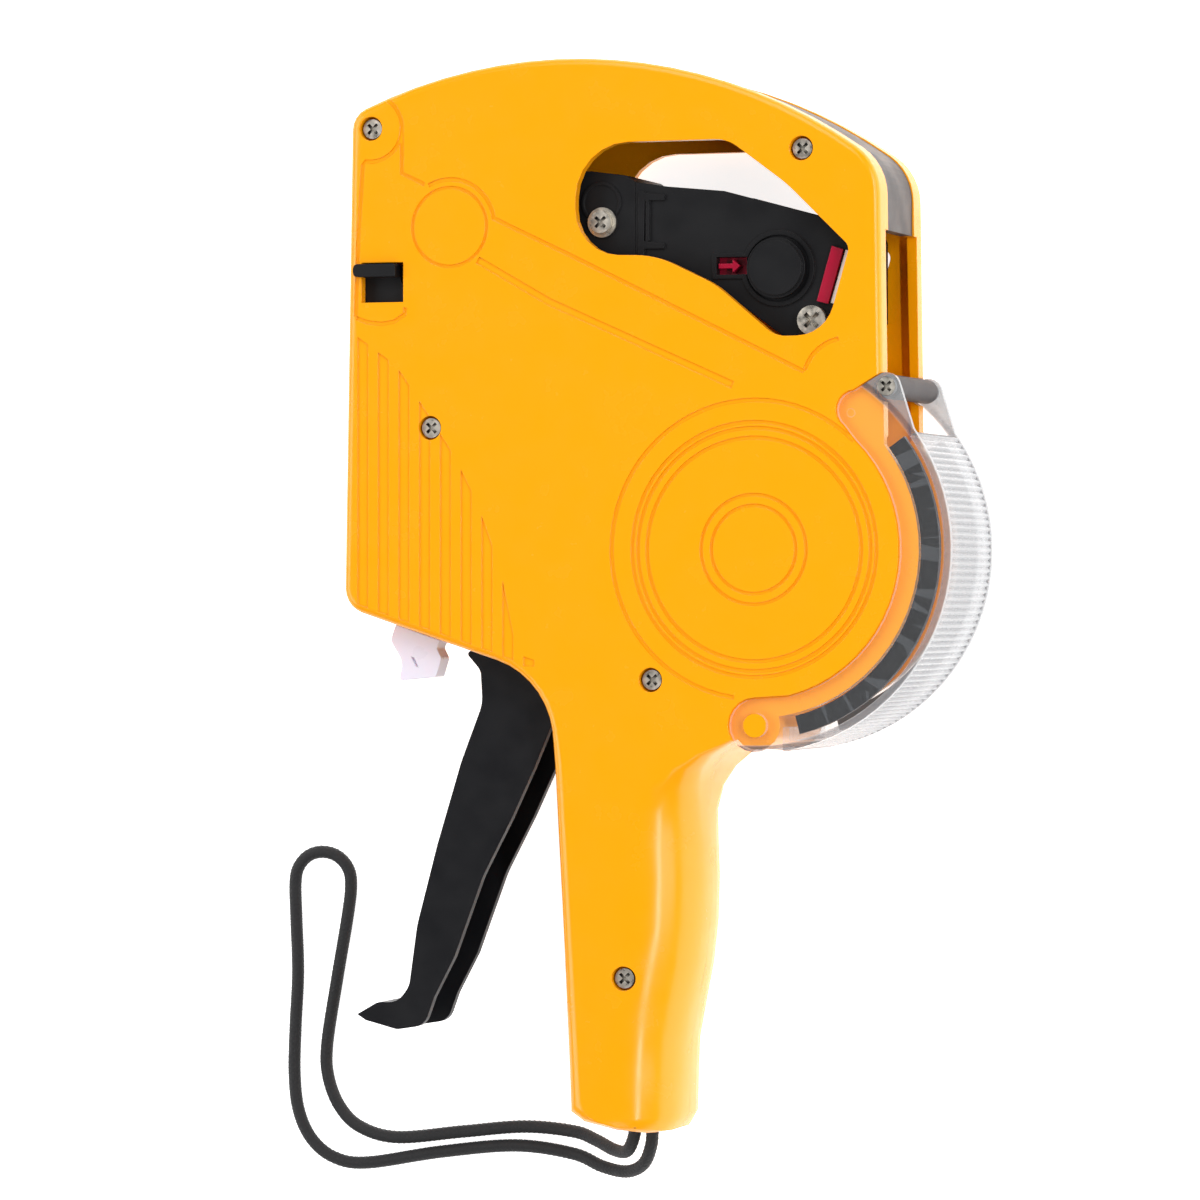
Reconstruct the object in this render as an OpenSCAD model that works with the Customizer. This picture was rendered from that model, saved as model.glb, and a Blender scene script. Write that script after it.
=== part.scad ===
// Hand-held price labeling gun, lying on its far side.
// +X points to the rear, +Y to the top and +Z out of the near face.
// The origin is on the resting face, under the axis of the label roll.

/* [Case] */
// Thickness over both case halves
case_t = 34; // [33:0.5:36]
// Thickness of the case faces and walls
wall = 2.2; // [1.8:0.1:2.4]
// Radius of the arched top
top_r = 110; // [108:0.5:112]
// Radius of the round end that holds the label roll
disc_r = 34.4; // [34.2:0.1:34.6]
// Rounding along the edge of the head
edge_r = 1.6; // [0.8:0.1:2]
// Depth of the relief lines in the faces
relief_d = 0.3; // [0.2:0.05:0.6]
// Number of ribs on the front of each face
rib_count = 9; // [6:1:10]
// Distance from one rib to the next
rib_pitch = 4.6; // [3.5:0.1:4.8]

/* [Grip] */
// How far the rounded back of the grip runs in from its edge
grip_round = 12.5; // [8:0.5:13]
// Width of the slot that takes the trigger
channel_w = 17.6; // [17.2:0.2:19]
// Length of the trigger slot below the head
channel_l = 88; // [80:1:90]

/* [Roll cover] */
// Thickness of the cover's side plates
cover_t = 1.5; // [1.2:0.1:1.6]
// Outer radius of the cover
cover_r = 41.5; // [41:0.1:42]
// Wall of the cover between its side plates
cover_wall = 1.7; // [1.4:0.1:2]
// Angle from one reed of the cover to the next
reed_pitch = 2; // [1.5:0.5:4]
// Radius of the guide roller
guide_r = 2.5; // [2:0.1:2.6]

/* [Trigger] */
// Width of the trigger
trigger_w = 16; // [14:0.5:16]
// Wall of the trigger channel
trigger_wall = 2.2; // [1.6:0.1:3]
// Radius of the trigger and arm pivots
pivot_r = 2; // [1.6:0.1:2.2]
// Angle that the trigger and the print arm turn through
squeeze = 17; // [12:1:17]

/* [Print arm] */
// Lowest level of the print arm
arm_z = 6; // [5.8:0.1:6.4]
// Highest level of the print arm
arm_top = 29; // [28.6:0.1:29.2]
// Thickness of the arm's side plates
arm_plate = 2.2; // [1.6:0.1:2.2]
// Number of digit bands
band_count = 8; // [4:1:8]
// Distance from one digit band to the next
band_pitch = 1.92; // [1.8:0.02:1.94]
// Radius of the selector knob
knob_r = 6.2; // [4:0.1:6.4]

/* [Inking and feed] */
// Radius of the ink roller
ink_r = 6; // [4:0.1:6.2]
// Radius of the label feed drum
feed_r = 8; // [6:0.1:8.4]
// Teeth of the feed ratchet
ratchet_teeth = 10; // [6:1:14]

/* [Fasteners] */
// Head radius of a case screw
screw_head_r = 2.05; // [1.8:0.05:2.6]
// Shank radius of a case screw
screw_r = 1.25; // [1:0.05:1.3]

/* [Strap] */
// Diameter of the wrist strap's cord
cord_d = 2.8; // [2:0.1:3.4]

/* [Hidden] */
$fn = 64;

yellow = "#ffb000";
black = "#28282a";
grey = "#6e6969";
steel = "#b9b9b4";
crimson = "#af0f3c";

mid = case_t / 2;
slack = 0.05;          // radial clearance of a pin in its bore
skirt = 0.3;           // clearance between parts that pass each other
eps = 0.01;            // overshoot of a cut
plate_gap = 0.2;       // clearance under a side plate of the cover
pocket_d = cover_t + plate_gap;

// Pivots and axes, as [x, y]
trigger_at = [-38, -14];
arm_at = [11.3, 46.7];
crank = [-22, 8];                    // from either pivot to its end of the drive link
cover_at = [0.2, -35.9];
guide_at = [28, 32.9];
knob_at = [3.8, 57.5];
ink_at = [-75.6, 48];
feed_at = [-66, 4];
strap_at = [-29, -113];
head_screw_at = [-34.1, 67.7];
case_screws_at = [[-83.5, 88.1], [10.1, 81.5], [-70.4, 25.5], [-22.1, -26.7], [-28, -88.1]];

// Arcs of the case outline
top_c = [-41.5, -8.5];
rear_r = 12;
rear_c = [14.4, 72];
front_r = 5;
front_c = [-83.1, 87.9];
chin_r = 5.5;
chin_c = [-84.2, -7.8];
fillet_r = 18;
fillet_c = [-61.6, -39.9];
rear_x = rear_c[0] + rear_r;
top_from = 55.2;
top_to = 113.3;
chin_to = 251.8;
rear_y = sqrt(disc_r * disc_r - rear_x * rear_x);
spine_w = 20;
post_r = 3.3;

function unit(v) = v / norm(v);
function turned(p, a) = [p[0] * cos(a) - p[1] * sin(a), p[0] * sin(a) + p[1] * cos(a)];
function xy(p) = [p[0], p[1]];
function ray(a) = [cos(a), sin(a)];

// Points of an arc from angle a to angle b in n steps
function arc(c, r, a, b, n = 8) = [for (i = [0:n]) c + r * ray(a + (b - a) * i / n)];

// The arc of radius r that rounds corner b between its neighbours a and c
function corner(a, b, c, r, n) =
    let (u = unit(a - b), v = unit(c - b), m = unit(u + v), half = acos(u * m))
    let (o = b + m * r / sin(half), s = b + u * r / tan(half), e = b + v * r / tan(half))
    let (from = atan2(s[1] - o[1], s[0] - o[0]), to = atan2(e[1] - o[1], e[0] - o[0]))
    let (way = to - from, way_short = way > 180 ? way - 360 : way < -180 ? way + 360 : way)
    arc(o, r, from, from + way_short, n);

// A closed outline whose corners are rows of [x, y, rounding]
function rounded(rows, n = 5) = [
    for (i = [0:len(rows) - 1])
        let (b = rows[i], a = rows[(i + len(rows) - 1) % len(rows)], c = rows[(i + 1) % len(rows)])
        each (b[2] > 0 ? corner(xy(a), xy(b), xy(c), b[2], n) : [xy(b)])];

// A closed outline moved inwards by d, for corners given anticlockwise
function inset(pts, d) = [
    for (i = [0:len(pts) - 1])
        let (b = pts[i], a = pts[(i + len(pts) - 1) % len(pts)], c = pts[(i + 1) % len(pts)])
        let (u = unit(b - a), v = unit(c - b), n = [-u[1] - v[1], u[0] + v[0]])
        b + n * d * 2 / (n * n)];

// The outline of a line of width w along open points
function ribbon(pts, w) =
    let (last = len(pts) - 1)
    let (side = [for (i = [0:last])
        let (t = unit(pts[min(i + 1, last)] - pts[max(i - 1, 0)])) [-t[1], t[0]] * w / 2])
    concat([for (i = [0:last]) pts[i] - side[i]], [for (i = [last:-1:0]) pts[i] + side[i]]);

// A closed outline cut into triangles, one ear at a time; left holds the points not yet cut off
function turn_of(a, b, c) = (b[0] - a[0]) * (c[1] - a[1]) - (b[1] - a[1]) * (c[0] - a[0]);
function holds(a, b, c, p) = turn_of(a, b, p) > 0 && turn_of(b, c, p) > 0 && turn_of(c, a, p) > 0;
function is_ear(pts, a, b, c, left) =
    turn_of(pts[a], pts[b], pts[c]) > 0.0001
    && len([for (i = left) if (holds(pts[a], pts[b], pts[c], pts[i])) i]) == 0;
function next_ear(pts, left, k = 0) =
    let (n = len(left))
    k >= n - 1 || is_ear(pts, left[(k + n - 1) % n], left[k], left[(k + 1) % n], left)
        ? k : next_ear(pts, left, k + 1);
function ears(pts, left, done = []) =
    let (n = len(left), k = next_ear(pts, left))
    n < 4 ? concat(done, [left])
          : ears(pts, [for (i = [0:n - 1]) if (i != k) left[i]],
                 concat(done, [[left[(k + n - 1) % n], left[k], left[(k + 1) % n]]]));

// A plate between two levels
module slab(pts, z0, z1) {
    translate([0, 0, z0]) linear_extrude(z1 - z0) polygon(pts);
}

// A rod along Z between two levels
module rod(at, r, z0, z1) {
    translate([at[0], at[1], z0]) cylinder(r = r, h = z1 - z0);
}

// A tube along Z between two levels
module tube(at, r_out, r_in, z0, z1) {
    difference() {
        rod(at, r_out, z0, z1);
        rod(at, r_in, z0 - 1, z1 + 1);
    }
}

// A box between two corners
module block(low, high) {
    translate(low) cube(high - low);
}

// Cross recess of a screw, cut down from z
module cross_recess(at, r, z) {
    for (a = [45, 135])
        translate([at[0], at[1], z - r / 2]) rotate([0, 0, a])
            translate([-r, -r / 4.4, 0]) cube([2 * r, r / 2.2, r]);
}

// The far half's features turned over to the near half
module turned_over() {
    translate([0, 0, case_t]) mirror([0, 0, 1]) children();
}

// Rows of the case outline, anticlockwise from the rear corner. Each holds x, y, the run of the
// rounding inwards as dx and dy, its depth from the face, and the inset of the hollow inside.
function bend(c, r, a, b, n, side = 1) = [
    for (i = [0:n])
        let (u = ray(a + (b - a) * i / n), p = c + r * u)
        [p[0], p[1], -side * u[0] * edge_r, -side * u[1] * edge_r, edge_r, wall]];

// Foot of the grip: the rounding grows from the front to the back
function foot(x, y) =
    let (t = (x + 40) / 20) [x, y, 3 - (3 + grip_round) * t, 2.5, 2.5 + 10 * t * t, wall + 3 * t];

// Back of the grip, rounded by the share k of its full rounding
function back(x, y, k = 1) = [x, y, -grip_round * k, 0, 13 * k, wall + 7 * k];

case_rows = concat(
    bend(rear_c, rear_r, 0, top_from, 6),
    bend(top_c, top_r, top_from + 3, top_to - 3, 16),
    bend(front_c, front_r, top_to, 180.9, 4),
    bend(chin_c, chin_r, 180.9, chin_to, 5),
    bend(fillet_c, fillet_r, chin_to - 180, 8, 7, -1),
    [[-43.4, -44, 2.2, 0, 2.2, wall], [-41.6, -80, 2.6, 0, 2.6, wall], [-40.4, -108, 3, 0, 3, wall]],
    [foot(-40, -116), foot(-37, -118), foot(-30, -119.7), foot(-24, -120.4), foot(-21, -120)],
    [back(-19.2, -117, 0.97), back(-18.9, -108), back(-18.6, -101.6), back(-17.2, -94), back(-15.6, -86),
     back(-14.6, -77), back(-14.3, -68), back(-14.6, -60), back(-15, -54, 0.92), back(-14.4, -49, 0.72),
     back(-12.6, -45, 0.45), back(-9.6, -42, 0.25)],
    bend(cover_at, 5, 215, 382, 8),
    bend([0, 0], disc_r, -81, 38, 18));

outline = [for (r = case_rows) xy(r)];
hollow = [for (r = case_rows) xy(r) + unit([r[2], r[3]]) * r[5]];

// One ring of the rounded edge; s runs from 0 at the face to 1 at the side
function ring(s) = [
    for (r = case_rows)
        let (a = 90 * s) [r[0] + r[2] * (1 - sin(a)), r[1] + r[3] * (1 - sin(a)), r[4] * (1 - cos(a))]];

// Outer shape of the far half, solid
module half_skin() {
    steps = 4;
    n = len(case_rows);
    rings = concat([for (k = [0:steps]) ring(k / steps)], [[for (p = outline) [p[0], p[1], mid]]]);
    top = steps + 1;
    sides = [for (k = [0:steps]) for (i = [0:n - 1])
        let (j = (i + 1) % n, a = k * n + i, b = k * n + j, c = a + n, d = b + n)
        each [[a, c, b], [b, c, d]]];
    polyhedron(points = [for (r = rings) each r],
               faces = concat(ears([for (p = rings[0]) xy(p)], [for (i = [0:n - 1]) i]), sides,
                              [for (t = ears(outline, [for (i = [0:n - 1]) i]))
                                  [t[2] + top * n, t[1] + top * n, t[0] + top * n]]));
}

// Window through both faces
window_rows = [[-38.2, 83.8, 11.4], [-5.6, 83.8, 8], [7, 74.4, 30], [20.3, 61.4, 2], [15.2, 43.5, 8],
               [4.6, 43.4, 6], [-8.2, 54.2, 20], [-21, 60.4, 20], [-38.5, 60.8, 9.6]];
slot_box = [[-85.6, 51.8], [-76.3, 60.1]];

// Pocket in a face that takes a side plate of the cover
lobe_at = [21.6, 28.2];
lobe_r = 3.9;
plate_r = 30.9;
function cover_plate(grow) = concat(
    arc([0, 0], plate_r - grow, -76, 46, 20),
    arc(lobe_at, lobe_r + grow, 232, 96, 8),
    arc(guide_at, 2.8 + grow, 108, 20, 6),
    [[33.6 + grow, 24.4]],
    arc([0, 0], cover_r + grow, 35, -80, 24),
    arc(cover_at, 5.4 + grow, -60, -268, 12));

// Grooves of the relief: each is a line of points on the face
rib_top = [[-87, 45], [-78, 38.6], [-74, 33], [-65, 19.6], [-60, 10], [-55.5, -2], [-53, -11], [-51, -24]];
function rib_end(x) = lookup(x, rib_top);
ring_at = [-66, 67.2];
rib_w = 2.3;
band_lines = [
    arc(ring_at, 9.9, 8, 118, 12),
    concat([[-56.4, 68.8], [-40, 61], [10.5, 36.2]], arc([19.6, 33.6], 9.2, 160, 100, 6)),
    concat(arc(case_screws_at[0], 6.9, 60, -100, 14), [[-85.3, 80.6], [-86.3, 66], [-86.9, 49]]),
    [[-76.6, 87], [-76.6, 78.6], [-71.6, 76.2]],
    [[-75.9, 50.6], [-76, 49.2], [-78.4, 47.7], [-81.2, 47.3], [-84.4, 47.7], [-86.7, 48.6]]];

module relief() {
    for (line = band_lines) slab(ribbon(line, 0.8), -eps, relief_d);
    slab(ribbon([[-59.8, 60.2], [-44, 51.2], [-4.5, 33.6]], 1.5), -eps, relief_d);
    tube(ring_at, 8.5, 7.9, -eps, relief_d);
    for (i = [0:rib_count - 1]) {
        x = -86.5 + i * rib_pitch;
        low = x < -58 ? -11.4 - (x + 86) * 0.33 : -22;
        slab([[x, low], [x + rib_w, low - rib_w * 0.33], [x + rib_w, rib_end(x + rib_w)], [x, rib_end(x)]],
             -eps, relief_d);
    }
    for (r = [22.8, 24.8, 26]) tube([0, 0], r + 0.35, r - 0.35, -eps, relief_d);
    for (r = [9, 11.2]) tube([0, 0], r + 0.3, r - 0.3, -eps, relief_d);
    slab(concat(arc([0, 0], 30.9, 46, 262, 40), arc([0, 0], 30.1, 262, 46, 40)), -eps, relief_d);
}

// One case half, with its face at z = 0 and its joint at half the case's thickness
module case_half(near) {
    boss_z = wall - eps;
    difference() {
        union() {
            difference() {
                half_skin();
                slab(hollow, wall, mid + 1);
                // Open top for the spine, open back and open round end
                slab(concat(arc(top_c, top_r + 2, top_from - 3, top_to, 20),
                            arc(top_c, top_r - 4, top_to, top_from - 3, 20)), mid - spine_w / 2, mid + 1);
                slab([[13.6, 64.8], [30, 64.8], [30, 95], [8, 95], [8, 80.8]], mid - spine_w / 2, mid + 1);
                block([rear_x - 4, rear_y - 4, 5], [rear_x + 2, 64.9, mid + 1]);
                slab(concat(arc([0, 0], disc_r + 1, -80, 42, 16), arc([0, 0], 30, 42, -80, 16)), 4, mid + 1);
                // Slot for the trigger, under the head and down the front of the grip
                block([-64.5, -45, mid - channel_w / 2], [-34.5, -17.6, mid + 1]);
                block([-50, -24 - channel_l, mid - channel_w / 2], [-34.5, -30, mid + 1]);
                // Label exit and the seat of the applicator
                block([-69.6, -22, 5], [-66, -14, mid + 1]);
                block([-79, -22, 12], [-73, -8, mid + 1]);
            }
            // Screw posts
            for (p = case_screws_at) rod(p, post_r, boss_z, mid);
            // Bosses of the pivots and the feed axle
            rod(trigger_at, 4.5, boss_z, 5.6);
            rod(feed_at, 3, boss_z, 7.2);
            if (!near) rod(arm_at, 4.5, boss_z, arm_z - 0.3);
            // Wall round the label roll, thick rim under the cover's pocket, and the cover's ear
            difference() {
                slab(concat(arc([0, 0], disc_r, 64, 258, 40), arc([0, 0], disc_r - wall, 258, 64, 40)),
                     boss_z, mid);
                block([-36, -12, 5], [-30, -4, mid + 1]);
            }
            slab(concat(arc([0, 0], disc_r - 0.2, -76, 62, 24), arc([0, 0], 28.4, 62, -76, 24)), boss_z, 4);
            rod(cover_at, 4.8, boss_z, mid);
            block([17, 22, boss_z], [rear_x - 1.4, 35.4, 4]);
            // Shelf under the platen
            block([-79, 27, boss_z], [-56, 29, 6]);
        }
        slab(cover_plate(skirt), -eps, pocket_d);
        rod(guide_at, guide_r + 0.6, pocket_d - eps, mid + 1);
        slab(rounded(window_rows, 6), -1, wall + 1);
        block([slot_box[0][0], slot_box[0][1], -1], [slot_box[1][0], slot_box[1][1], wall + 1]);
        relief();
        rod(trigger_at, pivot_r + slack, 2.2, mid);
        rod(feed_at, 1.5 + slack, 2.2, mid);
        if (!near) rod(arm_at, pivot_r + slack, 2.2, mid);
        rod(strap_at, 1.2 + slack, 3, mid + 1);
        // Way out of the strap at the foot of the grip
        block([strap_at[0] - 3.4, -124, mid - 2], [strap_at[0] + 3.4, -114, mid + 1]);
        for (p = case_screws_at) {
            rod(p, screw_r + slack, 4, mid + 1);
            if (near) {
                rod(p, screw_head_r + 0.45, -1, 2.6);
                rod(p, screw_r + 0.2, 2, mid + 1);
            }
        }
    }
    // Stub that the cover turns on
    rod(cover_at, 2.45, 0, 2);
}

module shell_far() { color(yellow) case_half(false); }
module shell_near() { color(yellow) turned_over() case_half(true); }

module top_spine() {
    color(grey)
    slab(concat([[rear_x - 0.3, 65]], arc(rear_c, rear_r - 0.3, 0, top_from, 8),
                arc(top_c, top_r - 0.3, top_from + 2, top_to - 2, 24),
                arc(top_c, top_r - 2.8, top_to - 2, top_from + 2, 24),
                arc(rear_c, rear_r - 2.8, top_from, 0, 8), [[rear_x - 2.8, 65]]),
         mid - spine_w / 2 + 0.1, mid + spine_w / 2 - 0.1);
}

module case_screws() {
    color(steel) for (p = case_screws_at) difference() {
        union() {
            rod(p, screw_head_r, case_t - 2.5, case_t - 1);
            rod(p, screw_r, 6, case_t - 2.5);
        }
        cross_recess(p, 1.4, case_t - 1);
    }
}

module platen() {
    color(steel) block([-78, 29.3, 2.4], [-56, 31, case_t - 2.4]);
}

module platen_pad() {
    color(black) block([-70, 31, arm_z], [-56.5, 32.2, arm_top - 1]);
}

module peel_plate() {
    color(steel) slab([[-72.6, -13.8], [-66.6, -15.8], [-65.8, -13.6], [-66.6, -13.3], [-67.1, -14.7],
                       [-72.3, -12.9]], 2.4, case_t - 2.4);
}

module applicator() {
    color("#e6e1f0") {
        difference() {
            slab(rounded([[-81, -15.5, 0], [-71.1, -18.8, 0], [-71.9, -20.4, 1], [-70.8, -22.5, 1],
                          [-72, -26.4, 0.5], [-80.2, -27.2, 0.4], [-79.4, -23.2, 4], [-82.2, -18.8, 2]], 4),
                 21, 26);
            // Slit in its near face
            slab([[-77.6, -22.2], [-76.9, -22.4], [-75.9, -24.4], [-76.6, -24.2]], 25.4, 27);
        }
        block([-78.8, -17, 12.2], [-73.2, -7, case_t - 12.2]);
        block([-79.6, -9.6, 12.2], [-72.4, -7.6, case_t - 12.2]);
    }
}

module trigger_pivot_pin() { color(steel) rod(trigger_at, pivot_r, 2.3, case_t - 2.3); }

module arm_pivot_screw() {
    color(steel) difference() {
        union() {
            rod(arm_at, pivot_r, 2.4, arm_top + 0.3);
            rod(arm_at, 3, arm_top + 0.3, arm_top + 1.8);
        }
        cross_recess(arm_at, 1.9, arm_top + 1.8);
    }
}

module feed_axle() { color(steel) rod(feed_at, 1.5, 2.3, case_t - 2.3); }
module strap_pin() { color(steel) rod(strap_at, 1.2, 3.1, case_t - 3.1); }

module trigger_spring() {
    color(steel) {
        for (i = [0:2]) translate([trigger_at[0], trigger_at[1], 26.6 + 1.3 * i])
            rotate_extrude() translate([5.3, 0]) circle(r = 0.64, $fn = 24);
        translate([trigger_at[0] - 5.3, trigger_at[1], 29.2]) rotate([-90, 0, 0])
            cylinder(r = 0.6, h = 8, $fn = 24);
    }
}

// Outline of the trigger, from the toe round the back and up the front
trigger_rows = [[-90.1, -97.6, 0], [-88.2, -98.8, 0], [-81.1, -100.6, 3], [-75, -99.6, 3.4],
                [-72.8, -93.6, 3], [-68.3, -85.1, 8], [-61.9, -68, 20], [-55.6, -56, 20],
                [-50.5, -45.2, 10], [-44, -30, 8], [-36, -22, 0], [-35, -10, 0], [-42, -9, 3],
                [-62.6, -20, 0.6], [-65.6, -21.4, 0.6], [-62.4, -25, 3], [-62, -32, 8], [-66.7, -44.1, 20],
                [-72.1, -61.7, 20], [-76.6, -78.6, 20], [-78.4, -91.5, 5], [-81, -94.9, 4],
                [-85.4, -94.9, 3]];
hub_r = 5;

module trigger() {
    out = rounded(trigger_rows, 4);
    side = mid - trigger_w / 2;
    color(black) difference() {
        union() {
            difference() {
                slab(out, side, case_t - side);
                translate([trigger_wall, -0.6, 0])
                    slab(out, side + trigger_wall - 0.4, case_t - side - trigger_wall + 0.4);
            }
            rod(trigger_at, hub_r, arm_z, case_t - side);
            // Crank that drives the link, on the far side
            slab(ribbon([trigger_at, trigger_at + crank], 6), arm_z, 8.6);
            rod(trigger_at + crank, 3, arm_z, 8.6);
        }
        rod(trigger_at, pivot_r + slack, 0, case_t);
        rod(trigger_at + crank, 1.5, 0, 10);
    }
}

module feed_pawl() {
    color(grey) slab([[-56, -9.5], [-53.4, -8], [-57.4, -1], [-58, 4], [-59.2, 4.4], [-59.4, 3.4],
                      [-58.8, -2]], 8.6, 9.8);
}

module drive_link() {
    low = trigger_at + crank;
    high = arm_at + crank;
    color(steel) difference() {
        union() {
            slab(ribbon([low, high], 5), 3, 5.4);
            rod(low, 3.4, 3, 5.4);
            rod(high, 3.2, 3, 5.4);
        }
        // The lower pin runs in a loose hole, so that it only carries the push
        rod(low, 1.5 + skirt, 2, 6);
        rod(high, 1.5 + slack, 2, 6);
    }
}

// Outlines of the print arm. The head turns about arm_at, so its front is an arc round it.
relief_h = 0.5;
washer_r = 3.1;
arm_rows = [[-26.9, 75.9, 0], [-20, 74.8, 0], [-7.8, 73.6, 0], [13, 67.9, 0], [20.6, 64.6, 2], [20.6, 47, 0],
            [17.6, 42.6, 3], [11.3, 39.8, 6], [5.4, 43.2, 5], [-4.6, 50.6, 8], [-26.9, 58.8, 0]];
nose_face = [[-67.4, 32.5], [-57.6, 32.5]];        // pressed on the platen
nose_rest = [for (p = nose_face) arm_at + turned(p - arm_at, -squeeze)];
head_rows = concat([[-27, 58.9], [-27, 75.9], [-28.9, 77.3], [-36.7, 78.4]],
                   arc([-56, 69], 9.4, 90, 168, 6), arc(arm_at, 79.6, 163.5, 173.4, 5),
                   [nose_rest[0] + [0.8, 1.6], nose_rest[1] + [0.8, 1.8], [-56, 58.6]]);
band_z = 8.7;
band_w = 1.6;
wheel_r = 5;
lug_z = [24.5, 26.6];
catch_at = [-6.1, 58.2];

module arm_frame() {
    color(black) difference() {
        union() {
            difference() {
                slab(rounded(arm_rows, 4), arm_z, arm_top);
                slab(concat([[-30, 60.6], [-30, 73.9]],
                            inset([[-20, 74.8], [-7.8, 73.6], [13, 67.9], [20.6, 64.6], [20.6, 48.6],
                                   [5, 51.2], [-4.6, 51.6], [-26.8, 60]], 2)),
                     arm_z + arm_plate, arm_top - arm_plate);
            }
            rod(arm_at, 5.6, arm_z, arm_top);
            // Lug that the head is screwed to
            slab([[-38.4, 64], [-26, 64], [-26, 71.4], [-38.4, 71.4]], lug_z[0], lug_z[1]);
            slab([[-26.8, 64], [-22, 64], [-22, 73.4], [-26.8, 73.4]], lug_z[0], arm_top - arm_plate + eps);
            // Edge rib beside the head, and its two-tongued clip
            slab([[-26.2, 60.4], [-25, 60.4], [-24.8, 73.8], [-26.2, 73.9]],
                 arm_top - eps, arm_top + relief_h);
            for (y = [62, 72]) slab([[-25.4, y], [-20.6, y], [-20.6, y + 1.1], [-25.4, y + 1.7]],
                                    arm_top - eps, arm_top + relief_h);
            slab([[-24.6, 63], [-23.8, 63.8], [-23.8, 71.8], [-24.6, 72.8]],
                 arm_top - eps, arm_top + relief_h);
            // Frame of the arrow catch's window
            block([-10.3, 55.5, arm_top - eps], [-2.4, 60.9, arm_top + 0.3]);
            // Raised seat round the knob
            tube(knob_at, knob_r + 1.6, knob_r + 0.6, arm_top - eps, arm_top + 0.5);
        }
        rod(arm_at, pivot_r + slack, 0, case_t);
        rod(knob_at, pivot_r + slack, 15, case_t);
        rod(knob_at, 1 + slack, 0, 15);
        rod(head_screw_at, screw_r, lug_z[0] - 1, lug_z[1] + 1);
        rod(arm_at + crank, 1.5, arm_z - 1, arm_z + arm_plate + 1);
        block([-9.4, 56.4, arm_top - 3], [-2.8, 60, arm_top + 1]);
    }
}

module band_housing() {
    color(black) difference() {
        union() {
            difference() {
                slab(head_rows, arm_z, arm_top);
                slab(concat([[-26, 57], [-26, 73.9], [-29.6, 75.3], [-37, 76.4]],
                            arc([-56, 69], 7.4, 90, 160, 5), [[-72, 67.5], [-72, 50]]),
                     arm_z + arm_plate, arm_top - arm_plate);
            }
            tube([-34.4, 71.8], 4.3, 3.7, arm_top - eps, arm_top + 0.3);
        }
        rod(head_screw_at, washer_r + skirt, arm_top, case_t);
        rod(head_screw_at, screw_r + 0.2, arm_top - 4, case_t);
    }
}

module head_screw() {
    color(steel) difference() {
        union() {
            rod(head_screw_at, screw_r, lug_z[0], arm_top);
            rod(head_screw_at, washer_r, arm_top, arm_top + 0.6);
            rod(head_screw_at, 2.3, arm_top + 0.6, arm_top + 1.7);
        }
        cross_recess(head_screw_at, 1.5, arm_top + 1.7);
    }
}

module upper_link_pin() { color(steel) rod(arm_at + crank, 1.5, 2.9, arm_z + arm_plate); }
module lower_link_pin() { color(steel) rod(trigger_at + crank, 1.5, 2.9, 8.6); }

module print_nose() {
    color(grey) slab([nose_rest[0] + [1.7, 1.4], nose_rest[1] + [-0.4, 1.4], [-57.4, 62.8], [-63.6, 65.4],
                      [-65.8, 62]], arm_z + arm_plate, arm_top - arm_plate);
}

// Each band runs round its setting wheel and over the nose
module digit_bands() {
    turn_r = wheel_r + 1.3;
    rear = knob_at[0] + turn_r;
    outer = rounded([[rear, knob_at[1] - turn_r - 1, turn_r - 0.5],
                     [rear, knob_at[1] + turn_r - 1, turn_r - 0.5], [-58, 74.6, 5], [-67.4, 63.6, 4],
                     [nose_rest[0][0], nose_rest[0][1], 1.3], [nose_rest[1][0], nose_rest[1][1], 1.4],
                     [-54.6, 59.6, 8]], 5);
    color("#e8e4da") for (i = [0:band_count - 1]) {
        z = band_z + band_pitch * i;
        difference() {
            slab(outer, z, z + band_w);
            slab(inset(outer, 0.8), z - 1, z + band_w + 1);
        }
    }
}

module setting_wheels() {
    color(grey) for (i = [1:band_count - 1])
        tube(knob_at, wheel_r, pivot_r + 0.1, band_z + band_pitch * i, band_z + band_pitch * i + band_w);
}

module driven_wheel() {
    color(steel) tube(knob_at, wheel_r, pivot_r + 0.1, band_z, band_z + band_w);
}

module selector_rod() { color(steel) rod(knob_at, 1, arm_z + 0.3, arm_top + 1.4); }

module selector_knob() {
    color(black) difference() {
        union() {
            rod(knob_at, pivot_r, band_z, arm_top + 0.3);
            rod(knob_at, knob_r, arm_top + 0.2, arm_top + 1.9);
            rod(knob_at, knob_r - 0.6, arm_top + 0.2, arm_top + 2.4);
        }
        rod(knob_at, 1 + slack, 0, arm_top + 1.4);
    }
}

module pointer_bar() {
    color(crimson) slab([[12.2, 50.6], [14.6, 50], [17.8, 61], [15.4, 61.8]], arm_top, arm_top + 0.9);
}

module digit_strip() {
    color("#f0eeea") slab([[15, 50.2], [17.4, 49.8], [19.8, 60.4], [18.2, 61]], arm_top, arm_top + 0.4);
}

// Arrow catch, in its window of the arm plate
module cartridge_catch() {
    color(crimson) {
        slab([[-10.6, 55.2], [-1.4, 55.2], [-1.4, 61.2], [-10.6, 61.2]], 25.2, 26.6);
        translate([catch_at[0], catch_at[1], 0])
            slab([[-3, -0.5], [0, -0.5], [0, -1.4], [1.6, 0], [0, 1.4], [0, 0.5], [-3, 0.5]], 26.6, 28.7);
    }
}

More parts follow.
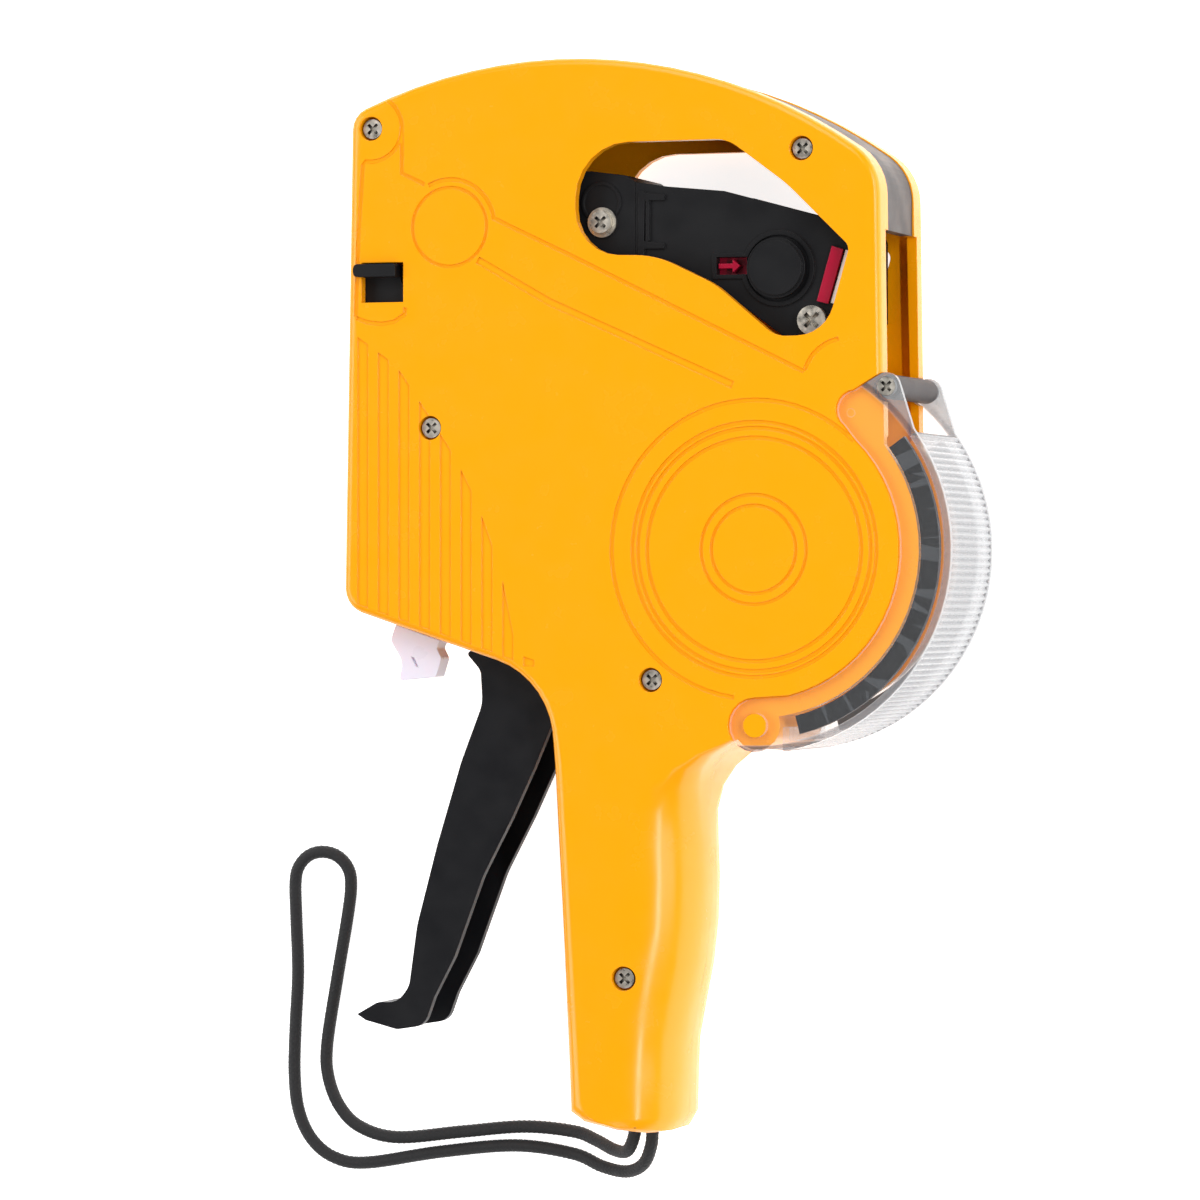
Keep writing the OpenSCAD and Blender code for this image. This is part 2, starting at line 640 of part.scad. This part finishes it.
module ink_carrier() {
    plate = rounded([[-86, 43.6, 2], [-78.4, 43.2, 2], [-72.6, 44.4, 3], [-72.6, 51.4, 3], [-77.8, 56, 2],
                     [-77.6, 59.8, 0], [-86, 59.8, 0]], 4);
    color(black) difference() {
        union() {
            slab(plate, 2.5, 4.7);
            slab(plate, 29.3, 31.5);
            block([-86, 44, 4.6], [-85, 59.8, 29.4]);
            block([-85.3, 57.1, 0.4], [-77.6, 59.8, case_t + 0.2]);
            slab(rounded([[-87, 57.1, 1], [-77.6, 57.1, 0], [-77.6, 59.8, 0.6], [-87, 59.8, 1]], 4),
                 case_t + 0.2, case_t + 1.4);
        }
        rod(ink_at, 1 + slack, 0, case_t);
        block([-84.9, 56, 4.7], [-76, 61, 29.3]);
    }
}

module ink_roller_core() {
    color(grey) {
        rod(ink_at, 1, 2.6, 31.4);
        rod(ink_at, 3, 5.4, 28.6);
    }
}
module ink_roller_felt() { color("#1e1e24") tube(ink_at, ink_r, 3, 6, 28); }

module feed_drum() {
    color(grey) difference() {
        rod(feed_at, feed_r, 10, 24);
        rod(feed_at, 1.5 + slack, 0, case_t);
        // Grooves that bite into the label backing
        for (a = [0:24:359]) rod(feed_at + (feed_r + 0.3) * ray(a), 0.8, 9, 25);
    }
}

module feed_ratchet() {
    step = 360 / ratchet_teeth;
    color(black) difference() {
        slab([for (i = [0:ratchet_teeth - 1])
                  each [feed_at + 5 * ray(i * step), feed_at + 4 * ray(i * step + 3)]], 7.5, 10);
        rod(feed_at, 1.5 + slack, 0, case_t);
    }
}

// Clear cover: two side plates and a reeded wall
module clear_cover() {
    reed = [for (a = [35:-reed_pitch / 2:-80]) (cover_r - (a / reed_pitch % 1 == 0 ? 0 : 0.3)) * ray(a)];
    inner = arc([0, 0], cover_r - cover_wall, -82, 35, 30);
    color("#e4ecf0", 0.35) difference() {
        union() {
            slab(cover_plate(0), 0, cover_t);
            slab(cover_plate(0), case_t - cover_t, case_t);
            slab(concat(inner, reed), cover_t - eps, case_t - cover_t + eps);
            slab([[5.8, -41], [5.8, -36.2], [7.2, -36.2], [7.2, -41]], cover_t - eps, case_t - cover_t + eps);
        }
        rod(cover_at, 2.5, -1, case_t + 1);
        rod(guide_at, 1.9 + slack, -1, case_t + 1);
        for (z = [0, case_t]) translate([lobe_at[0] - 1, lobe_at[1] - 0.6, z]) sphere(r = 0.9, $fn = 32);
    }
}

module roll_side_guides() {
    ring_rows = concat(arc([0, 0], disc_r + 0.5, -76, 36, 24), arc([0, 0], 38.7, 36, -76, 24));
    color("#464b50") {
        slab(ring_rows, cover_t, 3.2);
        slab(ring_rows, case_t - 3.2, case_t - cover_t);
    }
}

module roller_shaft() { color(steel) rod(guide_at, 1.2, cover_t, case_t - cover_t); }

module roller_screws() {
    color(steel) for (z = [0, case_t - cover_t]) difference() {
        rod(guide_at, 1.9, z, z + cover_t);
        if (z > 0) cross_recess(guide_at, 1.3, case_t);
    }
}

module guide_roller() { color("#5f5a5a") tube(guide_at, guide_r, 1.2 + slack, 3, case_t - 3); }

// Route of the wrist strap's cord: out of the foot of the grip, round one long loop on the
// surface that the gun lies on, and back into the foot.
lie = 1.5;
strap_route = [
    [-27.2, -115.6, 17], [-27.2, -119.4, 17], [-27.8, -124, 16], [-30.6, -128.4, 12.8],
    [-35.8, -130.6, 8.2], [-42.6, -130.2, 4], [-50, -128, lie], [-63, -126.7, lie], [-80, -128.6, lie],
    [-97, -131.5, lie], [-104.6, -130.6, lie], [-109.8, -126.8, lie], [-112.8, -120.8, lie],
    [-113.8, -113, lie], [-113.6, -103, lie], [-113, -91, lie], [-113.4, -79, lie], [-113.6, -71.6, lie],
    [-112.8, -68, lie], [-110.4, -65.5, lie], [-107.1, -64.7, lie], [-103.8, -65.6, lie],
    [-101.4, -68.1, lie], [-100.7, -71.6, lie], [-101.4, -78, lie], [-103.9, -92, lie],
    [-106.2, -106, lie], [-106, -113, lie], [-103.4, -119.4, lie], [-98.6, -123.8, lie],
    [-90, -125.8, lie], [-75, -124.1, lie], [-61, -122.6, lie], [-49.6, -123.2, 2.2],
    [-43.6, -124.6, 5], [-38.4, -126, 9], [-34.2, -125.8, 13.2], [-31.8, -123, 16],
    [-30.8, -119.2, 17], [-30.8, -115.6, 17]];

// A tube with the given number of sides, swept along points
module swept(path, r, sides) {
    last = len(path) - 1;
    points = [for (i = [0:last])
        let (t = unit(path[min(i + 1, last)] - path[max(i - 1, 0)]))
        let (across = unit(cross(t, [0, 0, 1])), above = cross(across, t))
        for (k = [0:sides - 1])
            let (u = ray(360 * (k + 0.5) / sides)) path[i] + r * (u[0] * across + u[1] * above)];
    walls = [for (i = [0:last - 1]) for (k = [0:sides - 1])
        let (a = i * sides + k, b = i * sides + (k + 1) % sides)
        each [[a, a + sides, b], [b, a + sides, b + sides]]];
    polyhedron(points = points,
               faces = concat([[for (k = [0:sides - 1]) k]], walls,
                              [[for (k = [sides - 1:-1:0]) last * sides + k]]));
}

module wrist_strap() { color("#141416") swept(strap_route, cord_d / 2, 8); }

shell_far();
shell_near();
top_spine();
case_screws();
platen();
platen_pad();
peel_plate();
applicator();
trigger_pivot_pin();
arm_pivot_screw();
feed_axle();
strap_pin();
trigger_spring();
wrist_strap();
trigger();
feed_pawl();
lower_link_pin();
drive_link();
arm_frame();
band_housing();
upper_link_pin();
print_nose();
digit_bands();
setting_wheels();
head_screw();
pointer_bar();
digit_strip();
driven_wheel();
cartridge_catch();
selector_rod();
selector_knob();
ink_carrier();
ink_roller_core();
ink_roller_felt();
feed_drum();
feed_ratchet();
clear_cover();
roll_side_guides();
roller_shaft();
roller_screws();
guide_roller();
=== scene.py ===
"""Price labeling gun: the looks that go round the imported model. Units are metres."""

import math
import bmesh
import bpy
from mathutils import Matrix, Vector


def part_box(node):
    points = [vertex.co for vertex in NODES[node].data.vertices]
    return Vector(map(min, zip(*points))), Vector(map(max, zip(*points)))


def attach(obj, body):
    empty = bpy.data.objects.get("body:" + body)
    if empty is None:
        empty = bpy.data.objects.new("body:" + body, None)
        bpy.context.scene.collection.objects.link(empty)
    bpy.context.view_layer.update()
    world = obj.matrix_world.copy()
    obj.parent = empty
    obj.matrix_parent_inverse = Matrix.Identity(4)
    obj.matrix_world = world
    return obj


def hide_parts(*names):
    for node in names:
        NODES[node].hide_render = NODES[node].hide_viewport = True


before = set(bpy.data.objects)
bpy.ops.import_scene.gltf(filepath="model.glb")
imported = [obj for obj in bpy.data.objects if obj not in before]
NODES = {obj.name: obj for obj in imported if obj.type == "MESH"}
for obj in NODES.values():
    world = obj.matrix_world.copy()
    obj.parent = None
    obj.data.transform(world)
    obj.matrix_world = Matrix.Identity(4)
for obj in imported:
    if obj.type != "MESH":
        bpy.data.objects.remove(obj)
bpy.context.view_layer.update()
MM = 0.001


# Camera -------------------------------------------------------------------

VIEW_TILT = math.radians(18.7)      # the camera stands this far round towards the rear of the gun
VIEW_DISTANCE = 1.08
VIEW_LENS = 157.5
VIEW_AIM = Vector((-0.033, -0.0103, 0.034))


def add_camera():
    """Look down on the gun, with its top up the picture."""
    back = Vector((math.sin(VIEW_TILT), 0, math.cos(VIEW_TILT)))
    right = Vector((math.cos(VIEW_TILT), 0, -math.sin(VIEW_TILT)))
    data = bpy.data.cameras.new("camera")
    data.lens = VIEW_LENS
    data.sensor_width = 36
    data.clip_start, data.clip_end = 0.05, 20
    camera = bpy.data.objects.new("camera", data)
    turn = Matrix((right, Vector((0, 1, 0)), back)).transposed().to_4x4()
    camera.matrix_world = Matrix.Translation(VIEW_AIM + VIEW_DISTANCE * back) @ turn
    bpy.context.scene.collection.objects.link(camera)
    bpy.context.scene.camera = camera


# Meshes -------------------------------------------------------------------

def add_mesh(name, verts, faces, material=None, smooth=True):
    """A new mesh piece from points and faces."""
    mesh = bpy.data.meshes.new(name)
    mesh.from_pydata([tuple(v) for v in verts], [], faces)
    mesh.validate()
    mesh.update()
    for polygon in mesh.polygons:
        polygon.use_smooth = smooth
    piece = bpy.data.objects.new(name, mesh)
    bpy.context.scene.collection.objects.link(piece)
    if material:
        mesh.materials.append(material)
    return piece


def spline(points, step):
    """Points about step apart on a smooth line through the given ones."""
    pts = [Vector(p) for p in points]
    ends = [2 * pts[0] - pts[1]] + pts + [2 * pts[-1] - pts[-2]]
    line = []
    for a, b, c, d in zip(ends, ends[1:], ends[2:], ends[3:]):
        count = max(2, round((c - b).length / step))
        for i in range(count):
            t = i / count
            line.append(0.5 * (2 * b + (c - a) * t + (2 * a - 5 * b + 4 * c - d) * t * t
                               + (3 * b - a - 3 * c + d) * t ** 3))
    return line + [pts[-1]]


def sweep(name, path, radius_at, sides, material):
    """A closed tube along a path; radius_at(distance, angle) gives its radius."""
    verts, faces, gone = [], [], 0.0
    across = None
    for i, p in enumerate(path):
        ahead = (path[min(i + 1, len(path) - 1)] - path[max(i - 1, 0)]).normalized()
        start = across if across is not None else Vector((1, 0, 0)).cross(ahead)
        across = (start - start.dot(ahead) * ahead).normalized()
        above = ahead.cross(across)
        gone += (p - path[i - 1]).length if i else 0.0
        for k in range(sides):
            a = 2 * math.pi * k / sides
            verts.append(p + radius_at(gone, a) * (math.cos(a) * across + math.sin(a) * above))
    for i in range(len(path) - 1):
        for k in range(sides):
            a, b = i * sides + k, i * sides + (k + 1) % sides
            faces.append((a, b, b + sides, a + sides))
    faces.append(tuple(range(sides - 1, -1, -1)))
    faces.append(tuple(range(len(verts) - sides, len(verts))))
    return add_mesh(name, verts, faces, material)


# Materials ----------------------------------------------------------------

# Where the cover's reeded wall begins and ends, from the axis of the label roll, and how deep its grooves are
WALL_IN = 39.9 * MM
WALL_OUT = 41.5 * MM
REED_DEPTH = 0.32 * MM

# Depths of the bumps in the surfaces
SINK_DEPTH = 0.4 * MM
GRAIN_DEPTH = 0.06 * MM
SCRATCH_DEPTH = 0.05 * MM
GRIT_DEPTH = 0.12 * MM
FIBRE_DEPTH = 0.1 * MM
NAP_DEPTH = 0.2 * MM


class Paint:
    """A node material, built up socket by socket."""

    def __init__(self, name, **shader):
        self.material = bpy.data.materials.new(name)
        self.material.use_nodes = True
        self.tree = self.material.node_tree
        self.shader = self.tree.nodes["Principled BSDF"]
        for socket, value in shader.items():
            self.shader.inputs[socket.replace("_", " ")].default_value = value

    def node(self, kind, **inputs):
        made = self.tree.nodes.new(kind)
        for socket, value in inputs.items():
            self.set(made, socket.replace("_", " "), value)
        return made

    def set(self, node, socket, value):
        target = node.inputs[socket]
        if isinstance(value, bpy.types.NodeSocket):
            self.tree.links.new(value, target)
        else:
            target.default_value = value

    def place(self, stretch=(1, 1, 1)):
        """Object coordinates, stretched."""
        where = self.node("ShaderNodeTexCoord").outputs["Object"]
        return self.node("ShaderNodeMapping", Vector=where, Scale=stretch).outputs["Vector"]

    def noise(self, scale, detail=4, stretch=(1, 1, 1), roughness=0.5):
        return self.node("ShaderNodeTexNoise", Vector=self.place(stretch), Scale=scale, Detail=detail,
                         Roughness=roughness).outputs["Fac"]

    def maths(self, operation, a, b):
        made = self.tree.nodes.new("ShaderNodeMath")
        made.operation = operation
        made.use_clamp = True
        self.set(made, 0, a)
        self.set(made, 1, b)
        return made.outputs[0]

    def ramp(self, value, low, high):
        """0 below low, 1 above high."""
        made = self.node("ShaderNodeMapRange", Value=value)
        made.inputs["From Min"].default_value, made.inputs["From Max"].default_value = low, high
        return made.outputs["Result"]

    def between(self, factor, low, high):
        made = self.node("ShaderNodeMapRange", Value=factor, To_Min=low, To_Max=high)
        made.inputs["From Min"].default_value = 0.3
        made.inputs["From Max"].default_value = 0.7
        return made.outputs["Result"]

    def blend(self, factor, colour_a, colour_b):
        made = self.tree.nodes.new("ShaderNodeMix")
        made.data_type = "RGBA"
        self.tree.links.new(factor, made.inputs["Factor"])
        for socket, value in ((6, colour_a), (7, colour_b)):
            if isinstance(value, bpy.types.NodeSocket):
                self.tree.links.new(value, made.inputs[socket])
            else:
                made.inputs[socket].default_value = (*value, 1)
        return made.outputs[2]

    def soften(self, radius):
        """Round the edges that the light catches."""
        made = self.tree.nodes.new("ShaderNodeBevel")
        made.samples = 4
        made.inputs["Radius"].default_value = radius
        self.tree.links.new(made.outputs["Normal"], self.shader.inputs["Normal"])

    def bump(self, height, strength, distance):
        made = self.node("ShaderNodeBump", Height=height, Strength=strength, Distance=distance)
        previous = self.shader.inputs["Normal"]
        if previous.is_linked:
            self.tree.links.new(previous.links[0].from_socket, made.inputs["Normal"])
        self.tree.links.new(made.outputs["Normal"], previous)

    def colour(self, socket):
        self.tree.links.new(socket, self.shader.inputs["Base Color"])

    def gloss(self, socket):
        self.tree.links.new(socket, self.shader.inputs["Roughness"])


def tint(colour, factor):
    return tuple(min(1.0, c * factor) for c in colour)


def moulded(name, colour, rough, grain=0.02, spread=0.05, grain_scale=2600, edge=0.25 * MM, **shader):
    """Moulded plastic: soft edges, faint mottling, uneven gloss, a fine grain and shallow sink marks."""
    paint = Paint(name, **shader)
    paint.soften(edge)
    paint.colour(paint.blend(paint.noise(34), tint(colour, 1 - spread), tint(colour, 1 + spread)))
    paint.gloss(paint.between(paint.noise(160, 6), rough * 0.85, rough * 1.2))
    paint.bump(paint.noise(45, 2), 0.12, SINK_DEPTH)
    paint.bump(paint.noise(grain_scale, 3), grain, GRAIN_DEPTH)
    return paint.material


def plated(name, colour, rough, stretch=(1, 1, 1)):
    """Plated or brushed metal with fine scratches, a few dull spots, and painted shade that darkens it to
    near black in crevices.
    """
    paint = Paint(name, Metallic=1.0)
    bright = paint.blend(paint.noise(300, 5), tint(colour, 0.8), tint(colour, 1.1))
    # Painted shade: ambient occlusion darkens the colour to near black in crevices and recesses.
    open_to = paint.node("ShaderNodeAmbientOcclusion", Distance=0.9 * MM).outputs["AO"]
    paint.colour(paint.blend(paint.between(open_to, 0, 1), tint(colour, 0.06), bright))
    paint.gloss(paint.between(paint.noise(900, 6, stretch), rough * 0.7, rough * 1.5))
    paint.bump(paint.noise(1500, 4, stretch), 0.15, SCRATCH_DEPTH)
    return paint.material


def rubbery(name, colour, rough=0.75, grain_scale=1800):
    """Ground rubber: matt, speckled and a little dusty."""
    paint = Paint(name)
    dust = paint.noise(120, 6, roughness=0.7)
    speck = paint.blend(paint.noise(2400, 2), tint(colour, 0.8), tint(colour, 1.25))
    paint.colour(paint.blend(dust, speck, tint(colour, 1.3)))
    paint.gloss(paint.between(dust, rough * 0.9, rough * 1.1))
    paint.bump(paint.noise(grain_scale, 4), 0.35, GRIT_DEPTH)
    return paint.material


def clear(name):
    """Thin clear plastic: bright at its edges, scuffed, and frosted on its wall, which is grey, darker in its
    grooves with painted shade and lighter on its ridges with painted light.
    """
    paint = Paint(name)
    scuffs = paint.noise(420, 8, roughness=0.75)
    paint.gloss(paint.between(scuffs, 0.04, 0.2))
    paint.bump(paint.noise(60, 2), 0.08, SINK_DEPTH)
    split = paint.node("ShaderNodeSeparateXYZ", Vector=paint.place()).outputs
    flat = paint.node("ShaderNodeCombineXYZ", X=split["X"], Y=split["Y"]).outputs["Vector"]
    far = paint.node("ShaderNodeVectorMath", Vector=flat)
    far.operation = "LENGTH"
    on_wall = paint.ramp(far.outputs["Value"], WALL_IN, WALL_IN + 0.3 * MM)
    on_ridge = paint.ramp(far.outputs["Value"], WALL_OUT - REED_DEPTH, WALL_OUT)
    # Painted shade and light on the reeded wall: dark grey in the grooves and on the wall's inner face,
    # lighter grey on the ridges.
    wall = paint.blend(on_ridge, (0.15, 0.16, 0.18), (0.38, 0.39, 0.4))
    paint.colour(paint.blend(on_wall, (0.95, 0.93, 0.92), wall))
    face_body, rim_body = 0.03, 0.8     # how solid it looks face on, and what a glancing view adds
    glance = paint.node("ShaderNodeLayerWeight", Blend=0.5).outputs["Facing"]
    rim = paint.maths("MULTIPLY", paint.maths("POWER", glance, 3), rim_body)
    frost = paint.maths("MULTIPLY", on_wall, paint.between(scuffs, 0.34, 0.48))
    body = paint.maths("ADD", paint.maths("ADD", rim, face_body), frost)
    empty = paint.tree.nodes.new("ShaderNodeBsdfTransparent")
    mix = paint.tree.nodes.new("ShaderNodeMixShader")
    paint.tree.links.new(body, mix.inputs["Fac"])
    paint.tree.links.new(empty.outputs[0], mix.inputs[1])
    paint.tree.links.new(paint.shader.outputs[0], mix.inputs[2])
    paint.tree.links.new(mix.outputs[0], paint.tree.nodes["Material Output"].inputs["Surface"])
    return paint.material


def braided(name):
    """Black polyester yarn with a faint sheen along each strand."""
    paint = Paint(name, Sheen_Weight=0.08, Sheen_Roughness=0.5)
    fibre = paint.noise(5200, 5, (1, 1, 1), 0.7)
    paint.colour(paint.blend(fibre, (0.002, 0.002, 0.0025), (0.012, 0.012, 0.014)))
    paint.gloss(paint.between(fibre, 0.55, 0.85))
    paint.bump(fibre, 0.5, FIBRE_DEPTH)
    return paint.material


def felted(name):
    """Felt soaked in ink: nearly black, with wet patches."""
    paint = Paint(name, Sheen_Weight=0.2)
    wet = paint.noise(220, 6)
    paint.colour(paint.blend(wet, (0.006, 0.006, 0.012), (0.02, 0.02, 0.03)))
    paint.gloss(paint.between(wet, 0.35, 0.9))
    paint.bump(paint.noise(3600, 6, roughness=0.8), 0.8, NAP_DEPTH)
    return paint.material


YELLOW = (0.96, 0.362, 0.0)
BLACK = (0.0065, 0.0067, 0.0078)
TRIGGER_BLACK = (0.006, 0.0062, 0.0078)

MATERIALS = {
    "yellow": moulded("yellow_case", YELLOW, 0.24, grain=0.012, spread=0.01, Specular_IOR_Level=0.42),
    "black": moulded("black_plastic", BLACK, 0.46, grain=0.16, spread=0.12, grain_scale=4200,
                     Specular_IOR_Level=0.22),
    "trigger": moulded("trigger_plastic", TRIGGER_BLACK, 0.4, grain=0.12, spread=0.1, grain_scale=3600,
                       Specular_IOR_Level=0.22),
    "spine": moulded("spine_plastic", (0.05, 0.046, 0.046), 0.42, grain=0.05, spread=0.06,
                     Specular_IOR_Level=0.3),
    "guides": moulded("guide_plastic", (0.052, 0.058, 0.066), 0.5, grain=0.2, spread=0.1, grain_scale=3200),
    "grey": moulded("grey_plastic", (0.16, 0.15, 0.15), 0.4, grain=0.05, spread=0.08),
    "white": moulded("white_plastic", (0.78, 0.75, 0.86), 0.3, grain=0.03, spread=0.02,
                     Subsurface_Weight=0.15, Subsurface_Scale=0.003),
    "strip": moulded("strip_plastic", (0.84, 0.82, 0.78), 0.35, grain=0.02, spread=0.03),
    "crimson": moulded("crimson_plastic", (0.36, 0.001, 0.028), 0.3, grain=0.02, spread=0.06),
    "steel": plated("plated_steel", (0.78, 0.73, 0.64), 0.34),
    "brushed": plated("brushed_steel", (0.56, 0.56, 0.55), 0.34, (1, 14, 1)),
    "roller": rubbery("roller_rubber", (0.04, 0.034, 0.034), 0.6),
    "rubber": rubbery("pad_rubber", (0.03, 0.03, 0.03), 0.8),
    "bands": rubbery("band_rubber", (0.55, 0.52, 0.45), 0.7),
    "clear": clear("clear_plastic"),
    "cord": braided("braided_cord"),
    "felt": felted("ink_felt"),
}

FINISHES = {
    "yellow": ["shell_far", "shell_near"],
    "black": ["arm_frame", "band_housing", "selector_knob", "ink_carrier", "feed_ratchet"],
    "trigger": ["trigger"],
    "spine": ["top_spine"],
    "guides": ["roll_side_guides"],
    "grey": ["feed_pawl", "print_nose", "setting_wheels", "ink_roller_core", "feed_drum"],
    "white": ["applicator"],
    "strip": ["digit_strip"],
    "crimson": ["pointer_bar", "cartridge_catch"],
    "steel": ["case_screws", "arm_pivot_screw", "head_screw", "roller_screws", "trigger_pivot_pin",
              "feed_axle", "strap_pin", "lower_link_pin", "upper_link_pin", "roller_shaft",
              "selector_rod", "trigger_spring"],
    "brushed": ["platen", "peel_plate", "drive_link", "driven_wheel"],
    "roller": ["guide_roller"],
    "rubber": ["platen_pad"],
    "bands": ["digit_bands"],
    "clear": ["clear_cover"],
    "cord": ["wrist_strap"],
    "felt": ["ink_roller_felt"],
}


def finish_nodes():
    """Give every CAD node its material."""
    for finish, names in FINISHES.items():
        for name in names:
            slots = NODES[name].data.materials
            slots.clear()
            slots.append(MATERIALS[finish])


# Smoothed copies of moulded parts -----------------------------------------

CREASE = math.radians(32)


def smoothed(node, body, weld=2e-6):
    """A welded copy of a CAD node, shaded smooth across its rounded edges."""
    mesh = NODES[node].data.copy()
    mesh.name = node + "_moulding"
    work = bmesh.new()
    work.from_mesh(mesh)
    bmesh.ops.remove_doubles(work, verts=work.verts, dist=weld)
    bmesh.ops.dissolve_degenerate(work, dist=weld, edges=work.edges)
    for edge in work.edges:
        flat = len(edge.link_faces) == 2 and edge.calc_face_angle(math.pi) < CREASE
        edge.smooth = flat
    for face in work.faces:
        face.smooth = True
    work.to_mesh(mesh)
    work.free()
    piece = bpy.data.objects.new(mesh.name, mesh)
    bpy.context.scene.collection.objects.link(piece)
    weighted = piece.modifiers.new("weighted", "WEIGHTED_NORMAL")
    weighted.mode = "FACE_AREA_WITH_ANGLE"
    weighted.keep_sharp = True
    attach(piece, body)
    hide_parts(node)
    return piece


# Wrist strap --------------------------------------------------------------

CORD_D = 2.8 * MM
LIE = 1.5                           # height of the cord's middle where it lies on the table, in mm
STITCH = 1.15 * MM                  # length of one stitch of the braid
STITCHES_AROUND = 4                 # stitches of each lay round half the cord
STITCH_DEPTH = 0.15                 # how deep the braid is, as a share of the radius
STRAP_ROUTE = [
    (-27.2, -115.6, 17), (-27.2, -119.4, 17), (-27.8, -124, 16), (-30.6, -128.4, 12.8),
    (-35.8, -130.6, 8.2), (-42.6, -130.2, 4), (-50, -128, LIE), (-63, -126.7, LIE), (-80, -128.6, LIE),
    (-97, -131.5, LIE), (-104.6, -130.6, LIE), (-109.8, -126.8, LIE), (-112.8, -120.8, LIE),
    (-113.8, -113, LIE), (-113.6, -103, LIE), (-113, -91, LIE), (-113.4, -79, LIE), (-113.6, -71.6, LIE),
    (-112.8, -68, LIE), (-110.4, -65.5, LIE), (-107.1, -64.7, LIE), (-103.8, -65.6, LIE),
    (-101.4, -68.1, LIE), (-100.7, -71.6, LIE), (-101.4, -78, LIE), (-103.9, -92, LIE),
    (-106.2, -106, LIE), (-106, -113, LIE), (-103.4, -119.4, LIE), (-98.6, -123.8, LIE),
    (-90, -125.8, LIE), (-75, -124.1, LIE), (-61, -122.6, LIE), (-49.6, -123.2, 2.2),
    (-43.6, -124.6, 5), (-38.4, -126, 9), (-34.2, -125.8, 13.2), (-31.8, -123, 16),
    (-30.8, -119.2, 17), (-30.8, -115.6, 17)]


def add_strap():
    """The braided cord, as one mesh tube with its crossing strands."""
    path = spline([Vector(p) * MM for p in STRAP_ROUTE], 0.16 * MM)

    def radius(gone, angle):
        around, along = STITCHES_AROUND * angle, math.pi * gone / STITCH
        crossing = math.sin(around + along) * math.sin(around - along)
        return CORD_D / 2 * (1 - STITCH_DEPTH + STITCH_DEPTH * math.sqrt(abs(crossing)))

    strap = sweep("wrist_strap_cord", path, radius, 24, MATERIALS["cord"])
    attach(strap, "case")
    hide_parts("wrist_strap")


# Trigger spring -----------------------------------------------------------

def add_spring():
    """A torsion spring: three turns of wire and a straight leg."""
    low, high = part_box("trigger_spring")
    wire = 0.55 * MM                # its radius
    coil_r = (high.x - low.x) / 2 - wire - 0.1 * MM
    centre = Vector(((low.x + high.x) / 2, low.y + coil_r + wire, 0))
    turns, per_turn, first = 2.6, 40, math.radians(324)
    rise = (high.z - low.z - 2 * wire) / turns
    path = []
    for i in range(round(turns * per_turn) + 1):
        t = i / per_turn
        angle = 2 * math.pi * t + first
        round_coil = coil_r * Vector((math.cos(angle), math.sin(angle), 0))
        path.append(centre + round_coil + Vector((0, 0, low.z + wire + rise * t)))
    leg = (1.5, 4, 7)               # points along the straight leg, in mm
    path += [path[-1] + Vector((0, along * MM, 0)) for along in leg]
    spring = sweep("trigger_spring_coil", path, lambda gone, angle: wire, 12, MATERIALS["steel"])
    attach(spring, "case")
    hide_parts("trigger_spring")


# Floor and lights ---------------------------------------------------------

def add_floor():
    """A white table top, lit from below, under the gun."""
    paint = Paint("lit_table", Roughness=0.6, Emission_Strength=0.9)
    pale = paint.blend(paint.noise(3, 3), (0.93, 0.93, 0.93), (0.95, 0.95, 0.95))
    paint.colour(pale)
    paint.set(paint.shader, "Emission Color", pale)
    half = 3.0
    drop = -0.0002
    corners = [(-half, -half, drop), (half, -half, drop), (half, half, drop), (-half, half, drop)]
    floor = add_mesh("floor", corners, [(0, 1, 2, 3)], paint.material, smooth=False)


def add_light(name, place, size, power, look_at=(-0.03, -0.01, 0.02)):
    """A soft rectangular lamp that faces the gun; its size is across and along Y."""
    data = bpy.data.lights.new(name, "AREA")
    data.shape = "RECTANGLE"
    data.size, data.size_y = size
    data.energy = power
    lamp = bpy.data.objects.new(name, data)
    back = (Vector(place) - Vector(look_at)).normalized()
    side = Vector((0, 1, 0)).cross(back).normalized()
    turn = Matrix((side, back.cross(side), back)).transposed().to_4x4()
    lamp.matrix_world = Matrix.Translation(Vector(place)) @ turn
    bpy.context.scene.collection.objects.link(lamp)


def add_lights():
    """Soft lamps all round, none of them where the flat face would mirror it, and a strip for the grip."""
    add_light("front_soft", (-1.35, 0.1, 1.0), (0.9, 1.6), 17)
    add_light("rear_soft", (1.3, 0.3, 0.75), (0.7, 1.3), 9)
    add_light("top_soft", (-0.1, 1.3, 1.1), (0.9, 1.4), 12)
    add_light("foot_soft", (-0.1, -1.3, 1.1), (0.9, 1.2), 7)
    add_light("rear_strip", (0.86, 0.05, 0.98), (0.06, 1.0), 7)
    world = bpy.data.worlds.new("studio")
    world.use_nodes = True
    sky = world.node_tree.nodes["Background"]
    sky.inputs["Color"].default_value = (1, 1, 1, 1)
    sky.inputs["Strength"].default_value = 0.16
    bpy.context.scene.world = world
    bpy.context.scene.view_settings.view_transform = "Standard"


# Build --------------------------------------------------------------------

add_camera()
add_strap()
add_spring()
finish_nodes()
for part, its_body, its_slot in (("shell_far", "case", "yellow_case"), ("shell_near", "case", "yellow_case"),
                                 ("trigger", "trigger", "black_plastic")):
    smoothed(part, its_body)
add_floor()
add_lights()
